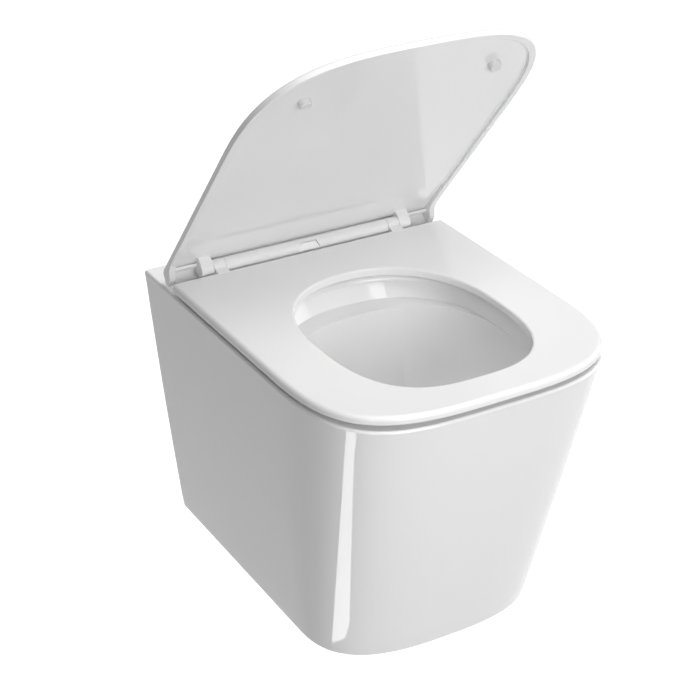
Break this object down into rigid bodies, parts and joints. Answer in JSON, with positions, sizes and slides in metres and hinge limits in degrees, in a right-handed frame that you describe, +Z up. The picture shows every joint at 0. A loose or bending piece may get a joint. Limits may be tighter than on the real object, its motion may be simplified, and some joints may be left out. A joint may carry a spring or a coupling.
{
  "type": "wall hung toilet",
  "caption": "Fully shrouded rimless wall hung toilet pan with a slim soft-close seat and cover on an adjustable quick-release hinge.",
  "frame": {"origin": "middle of the two wall fixings, in the plane of the finished wall", "axes": "+X to the right for someone facing the wall, +Y into the wall, +Z up; the pan reaches out along -Y"},
  "size_m": [0.364, 0.477, 0.6809],
  "materials": {
    "ceramic": null,
    "seat_plastic": "white thermoset, polished",
    "button_plastic": "white, polished",
    "white_plastic": "white, moulded",
    "grey_plastic": "grey, moulded",
    "dark_plastic": "dark grey, moulded",
    "pad_rubber": "white, soft",
    "bush_rubber": "dark, firm",
    "steel": "stainless steel"
  },
  "bodies": {
    "root": {"pan": "ceramic", "bowl": "ceramic", "stud_sleeves": "white_plastic", "expansion_bushes": "bush_rubber", "bush_nuts": "steel", "hinge_bolts": "steel", "bolt_washers": "steel"},
    "discs": {"base_discs": "grey_plastic"},
    "hinge": {"hinge_plate": "steel", "hinge_bar": "seat_plastic", "latch_keeper": "white_plastic", "end_bushings": "dark_plastic", "seat_damper": "dark_plastic", "cover_damper": "dark_plastic", "spring_left": "steel", "spring_right": "steel"},
    "button": {"release_button": "button_plastic"},
    "latch_l": {"latch_left": "steel"},
    "latch_r": {"latch_right": "steel"},
    "seat": {"seat": "seat_plastic", "seat_buffers": "pad_rubber", "seat_shaft": "steel"},
    "cover": {"cover": "seat_plastic", "cover_ends": "seat_plastic", "cover_buffers": "pad_rubber", "cover_shaft": "steel"}
  },
  "joints": [
    {"name": "side_adjust", "type": "slide", "parent": "root", "child": "discs", "axis": [1, 0, 0], "range_m": [-0.002, 0.002]},
    {"name": "depth_adjust", "type": "slide", "parent": "discs", "child": "hinge", "axis": [0, 1, 0], "range_m": [-0.004, 0.004]},
    {"name": "release_button", "type": "slide", "parent": "hinge", "child": "button", "axis": [0, 1, 0], "range_m": [0, 0.0035], "stiffness_N_per_m": 600, "springref_m": -0.004},
    {"name": "latch_left", "type": "slide", "parent": "hinge", "child": "latch_l", "axis": [-1, 0, 0], "range_m": [0, 0.0035], "deforming": ["spring_left"]},
    {"name": "latch_right", "type": "slide", "parent": "hinge", "child": "latch_r", "axis": [1, 0, 0], "range_m": [0, 0.0035], "deforming": ["spring_right"]},
    {"name": "seat_hinge", "type": "hinge", "parent": "hinge", "child": "seat", "pos_m": [0, -0.0665, 0.097], "axis": [-1, 0, 0], "range_deg": [0, 50]},
    {"name": "cover_hinge", "type": "hinge", "parent": "hinge", "child": "cover", "pos_m": [0, -0.0665, 0.097], "axis": [-1, 0, 0], "range_deg": [-51.1, 45.4]}
  ],
  "couplings": [
    {"joint": "latch_left", "follows": "release_button", "ratio": 1},
    {"joint": "latch_right", "follows": "release_button", "ratio": 1}
  ]
}
